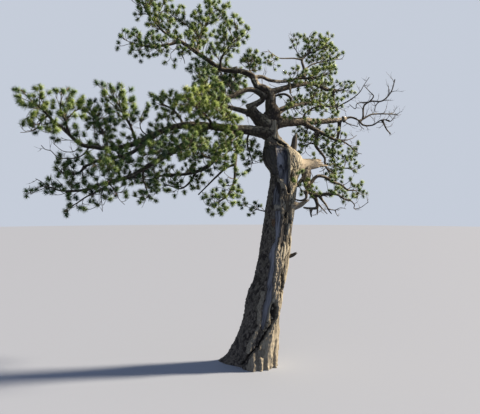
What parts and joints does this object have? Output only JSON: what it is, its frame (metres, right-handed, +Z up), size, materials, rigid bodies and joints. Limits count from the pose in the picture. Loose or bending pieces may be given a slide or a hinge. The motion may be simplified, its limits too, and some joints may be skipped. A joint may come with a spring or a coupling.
{
  "type": "pine tree",
  "caption": "Old leaning pine: fluted trunk with root flare and broken stubs, boughs swept to one side, rounded tufts of short needles.",
  "frame": {"origin": "middle of the trunk's flat cut at ground level", "axes": "+Z up, +X to the side of the broken stubs and dead twigs, -Y towards the viewer of the picture; the long boughs reach out along -X"},
  "size_m": [3.6214, 2.0058, 3.7901],
  "materials": {
    "bark": "rough furrowed bark, matt",
    "dead_wood": "bare weathered wood, split and matt",
    "needles": "green needles, soft satin",
    "dead_twigs": "bare dry twigs, matt"
  },
  "bodies": {
    "root": {"bough_arch": "bark", "bough_back_left": "bark", "bough_back_right": "bark", "bough_center_low": "bark", "bough_crown": "bark", "bough_curl": "bark", "bough_knee": "bark", "bough_left": "bark", "bough_left_low": "bark", "bough_left_middle": "bark", "bough_left_upper": "bark", "bough_right": "bark", "bough_right_low": "bark", "bough_right_upper": "bark", "bough_skirt": "bark", "bough_skirt_arch": "bark", "bough_top": "bark", "bough_top_left": "bark", "broken_stub_lower": "dead_wood", "broken_stub_upper": "dead_wood", "dead_twigs_right": "dead_twigs", "foliage_arch": "needles", "foliage_arch_inner": "needles", "foliage_back_left": "needles", "foliage_crown_low": "needles", "foliage_crown_right": "needles", "foliage_elbow": "needles", "foliage_hanging": "needles", "foliage_inner_hang": "needles", "foliage_left_crest": "needles", "foliage_left_high": "needles", "foliage_left_inner": "needles", "foliage_left_low_mid": "needles", "foliage_left_low_tip": "needles", "foliage_left_low_under": "needles", "foliage_left_second": "needles", "foliage_left_tip": "needles", "foliage_left_under": "needles", "foliage_low_center": "needles", "foliage_low_inner": "needles", "foliage_mid_center": "needles", "foliage_mid_crest": "needles", "foliage_mid_front": "needles", "foliage_mid_low": "needles", "foliage_mid_right": "needles", "foliage_mid_under": "needles", "foliage_right_back": "needles", "foliage_right_far": "needles", "foliage_right_inner": "needles", "foliage_right_knot": "needles", "foliage_right_low": "needles", "foliage_right_tip": "needles", "foliage_skirt": "needles", "foliage_skirt_low": "needles", "foliage_top_high": "needles", "foliage_top_left": "needles", "foliage_top_mid": "needles", "foliage_top_right": "needles", "foliage_trunk_spray": "needles", "trunk": "bark"}
  },
  "joints": []
}
